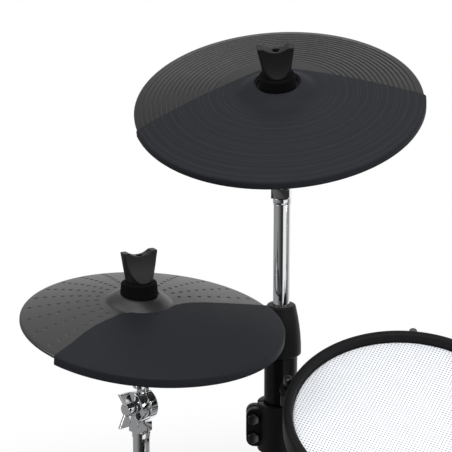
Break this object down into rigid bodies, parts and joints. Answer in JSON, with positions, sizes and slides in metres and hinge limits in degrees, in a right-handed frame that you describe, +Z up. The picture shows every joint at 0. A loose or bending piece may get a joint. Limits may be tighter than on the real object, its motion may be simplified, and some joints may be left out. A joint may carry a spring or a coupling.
{
  "type": "electronic drum kit",
  "caption": "Electronic drum kit: mesh pads and half-rubber cymbal pads on a black tube rack with chrome arms and tilters, kick tower, hi-hat pedal and sound module.",
  "frame": {"origin": "on the floor, under the middle of the kick tower's base", "axes": "+Z up, -Y towards the player, +X to the player's right"},
  "size_m": [1.2542, 0.9198, 1.1549],
  "materials": {
    "black_steel": "black satin powder coat",
    "black_plastic": "fine-grained black moulding",
    "shell_plastic": "black moulded shell",
    "bolt_steel": "zinc-plated steel",
    "foot_rubber": "black rubber",
    "hoop_rubber": "black moulded hoop cover",
    "strike_rubber": "dark grey rubber",
    "cymbal_plastic": "grey-black moulded plate",
    "chrome": "bright chrome plate",
    "arm_metal": "black-coated cast clamp and rod",
    "mesh": "white woven mesh under tension",
    "felt": "black felt washers and sleeve",
    "foam_bridge": "sensor bridge and foam cone",
    "footboard_metal": "ribbed cast footboard",
    "module_plastic": "dark moulded case",
    "dial_plastic": "ribbed dial"
  },
  "bodies": {
    "rack": {"rack_posts": "black_steel", "rack_bars": "black_steel", "bar_clamps": "black_plastic", "clamp_bolts": "bolt_steel", "rack_feet": "foot_rubber", "post_collars": "black_plastic", "post_plugs": "black_plastic", "kick_tower": "black_steel", "kick_shell": "shell_plastic", "kick_hoop": "hoop_rubber", "kick_head": "mesh", "hihat_pedal_base": "black_steel", "module_bracket": "arm_metal"},
    "crash_arm": {"crash_arm": "chrome"},
    "crash_bolt": {"crash_tilter_bolt": "chrome"},
    "crash_tilter": {"crash_tilter_head": "chrome", "crash_felts": "felt"},
    "crash_pad": {"crash_plate": "cymbal_plastic", "crash_strike_zone": "strike_rubber", "crash_sensor_box": "black_plastic"},
    "crash_nut": {"crash_wing_nut": "black_plastic"},
    "hihat_arm": {"hihat_arm": "chrome"},
    "hihat_bolt": {"hihat_tilter_bolt": "chrome"},
    "hihat_tilter": {"hihat_tilter_head": "chrome", "hihat_felts": "felt"},
    "hihat_pad": {"hihat_plate": "cymbal_plastic", "hihat_strike_zone": "strike_rubber", "hihat_sensor_box": "black_plastic"},
    "hihat_nut": {"hihat_wing_nut": "black_plastic"},
    "ride_arm": {"ride_arm": "chrome"},
    "ride_bolt": {"ride_tilter_bolt": "chrome"},
    "ride_tilter": {"ride_tilter_head": "chrome", "ride_felts": "felt"},
    "ride_pad": {"ride_plate": "cymbal_plastic", "ride_strike_zone": "strike_rubber", "ride_sensor_box": "black_plastic"},
    "ride_nut": {"ride_wing_nut": "black_plastic"},
    "tom_1_arm": {"tom_1_clamp": "black_plastic", "tom_1_rod": "chrome"},
    "tom_1_pad": {"tom_1_shell": "shell_plastic", "tom_1_hoop": "hoop_rubber", "tom_1_head": "mesh", "tom_1_screws": "bolt_steel", "tom_1_sensor": "foam_bridge"},
    "tom_2_arm": {"tom_2_arm": "arm_metal"},
    "tom_2_pad": {"tom_2_shell": "shell_plastic", "tom_2_hoop": "hoop_rubber", "tom_2_head": "mesh"},
    "tom_3_arm": {"tom_3_arm": "arm_metal"},
    "tom_3_pad": {"tom_3_shell": "shell_plastic", "tom_3_hoop": "hoop_rubber", "tom_3_head": "mesh"},
    "snare_arm": {"snare_arm": "arm_metal"},
    "snare_pad": {"snare_shell": "shell_plastic", "snare_hoop": "hoop_rubber", "snare_head": "mesh"},
    "footboard": {"hihat_footboard": "footboard_metal"},
    "module": {"module_case": "module_plastic", "module_base": "module_plastic"},
    "module_dial": {"module_dial": "dial_plastic"}
  },
  "joints": [
    {"name": "crash_height", "type": "slide", "parent": "rack", "child": "crash_arm", "axis": [0, 0, 1], "range_m": [-0.05, 0.1]},
    {"name": "crash_bolt_turn", "type": "hinge", "parent": "crash_arm", "child": "crash_bolt", "pos_m": [-0.35, 0.09, 0.994], "axis": [0.9972, 0.075, 0], "continuous": true},
    {"name": "crash_tilt", "type": "hinge", "parent": "crash_arm", "child": "crash_tilter", "pos_m": [-0.35, 0.09, 0.994], "axis": [0.9972, 0.075, 0], "range_deg": [-25, 15]},
    {"name": "crash_rock", "type": "hinge", "parent": "crash_tilter", "child": "crash_pad", "pos_m": [-0.34699, 0.05003, 1.10179], "axis": [0.9305, 0.351, 0.1042], "range_deg": [-6, 6], "stiffness_Nm_per_rad": 8, "springref_deg": -0.29, "deforming": ["crash_felts"]},
    {"name": "crash_nut_turn", "type": "hinge", "parent": "crash_tilter", "child": "crash_nut", "pos_m": [-0.35, 0.09, 0.994], "axis": [0.0261, -0.3476, 0.9373], "continuous": true},
    {"name": "hihat_height", "type": "slide", "parent": "rack", "child": "hihat_arm", "axis": [0, 0, 1], "range_m": [-0.03, 0.06]},
    {"name": "hihat_bolt_turn", "type": "hinge", "parent": "hihat_arm", "child": "hihat_bolt", "pos_m": [-0.4854, -0.0404, 0.738], "axis": [0.5417, 0.8406, 0], "continuous": true},
    {"name": "hihat_tilt", "type": "hinge", "parent": "hihat_arm", "child": "hihat_tilter", "pos_m": [-0.4854, -0.0404, 0.738], "axis": [0.5417, 0.8406, 0], "range_deg": [-17, 6]},
    {"name": "hihat_rock", "type": "hinge", "parent": "hihat_tilter", "child": "hihat_pad", "pos_m": [-0.4854, -0.0404, 0.8707], "axis": [0.5909, 0.8067, -0.0074], "range_deg": [-5, 5], "stiffness_Nm_per_rad": 8, "springref_deg": -1.09, "deforming": ["hihat_felts"]},
    {"name": "hihat_nut_turn", "type": "hinge", "parent": "hihat_tilter", "child": "hihat_nut", "pos_m": [-0.4854, -0.0404, 0.738], "axis": [0, 0, 1], "continuous": true},
    {"name": "ride_height", "type": "slide", "parent": "rack", "child": "ride_arm", "axis": [0, 0, 1], "range_m": [-0.05, 0.1]},
    {"name": "ride_bolt_turn", "type": "hinge", "parent": "ride_arm", "child": "ride_bolt", "pos_m": [0.35, 0.09, 0.985], "axis": [0.9848, -0.1736, 0], "continuous": true},
    {"name": "ride_tilt", "type": "hinge", "parent": "ride_arm", "child": "ride_tilter", "pos_m": [0.35, 0.09, 0.985], "axis": [0.9848, -0.1736, 0], "range_deg": [-25, 15]},
    {"name": "ride_rock", "type": "hinge", "parent": "ride_tilter", "child": "ride_pad", "pos_m": [0.34372, 0.05439, 1.09627], "axis": [0.8904, -0.4458, -0.0924], "range_deg": [-6, 6], "stiffness_Nm_per_rad": 8, "springref_deg": -0.39, "deforming": ["ride_felts"]},
    {"name": "ride_nut_turn", "type": "hinge", "parent": "ride_tilter", "child": "ride_nut", "pos_m": [0.35, 0.09, 0.985], "axis": [-0.0537, -0.3043, 0.9511], "continuous": true},
    {"name": "tom_1_swing", "type": "hinge", "parent": "rack", "child": "tom_1_arm", "pos_m": [-0.35, 0.09, 0.6784], "axis": [0, 0, 1], "range_deg": [-10, 5]},
    {"name": "tom_1_tilt", "type": "hinge", "parent": "tom_1_arm", "child": "tom_1_pad", "pos_m": [-0.178, -0.0424, 0.7024], "axis": [0.9724, 0.2334, 0], "range_deg": [-15, 10]},
    {"name": "tom_2_swing", "type": "hinge", "parent": "rack", "child": "tom_2_arm", "pos_m": [0.35, 0.09, 0.6784], "axis": [0, 0, 1], "range_deg": [-5, 10]},
    {"name": "tom_2_tilt", "type": "hinge", "parent": "tom_2_arm", "child": "tom_2_pad", "pos_m": [0.178, -0.0424, 0.7024], "axis": [0.9724, -0.2334, 0], "range_deg": [-15, 10]},
    {"name": "tom_3_swing", "type": "hinge", "parent": "rack", "child": "tom_3_arm", "pos_m": [0.48, -0.29, 0.616], "axis": [0, 0, 1], "range_deg": [-10, 10]},
    {"name": "tom_3_tilt", "type": "hinge", "parent": "tom_3_arm", "child": "tom_3_pad", "pos_m": [0.31, -0.384, 0.64], "axis": [0.8829, -0.4695, 0], "range_deg": [-12, 12]},
    {"name": "snare_swing", "type": "hinge", "parent": "rack", "child": "snare_arm", "pos_m": [-0.48, -0.29, 0.592], "axis": [0, 0, 1], "range_deg": [-8, 8]},
    {"name": "snare_tilt", "type": "hinge", "parent": "snare_arm", "child": "snare_pad", "pos_m": [-0.19, -0.392, 0.616], "axis": [0.9397, 0.342, 0], "range_deg": [-8, 10]},
    {"name": "hihat_pedal_press", "type": "hinge", "parent": "rack", "child": "footboard", "pos_m": [-0.33, -0.676, 0.022], "axis": [1, 0, 0], "range_deg": [-11, 0], "stiffness_Nm_per_rad": 4, "springref_deg": 10.52},
    {"name": "module_tilt", "type": "hinge", "parent": "rack", "child": "module", "pos_m": [-0.612, -0.3835, 0.554], "axis": [0.8192, 0.5736, 0], "range_deg": [-20, 20]},
    {"name": "module_dial_turn", "type": "hinge", "parent": "module", "child": "module_dial", "pos_m": [-0.54035, -0.36727, 0.61416], "axis": [0.2868, -0.4096, 0.866], "continuous": true}
  ]
}
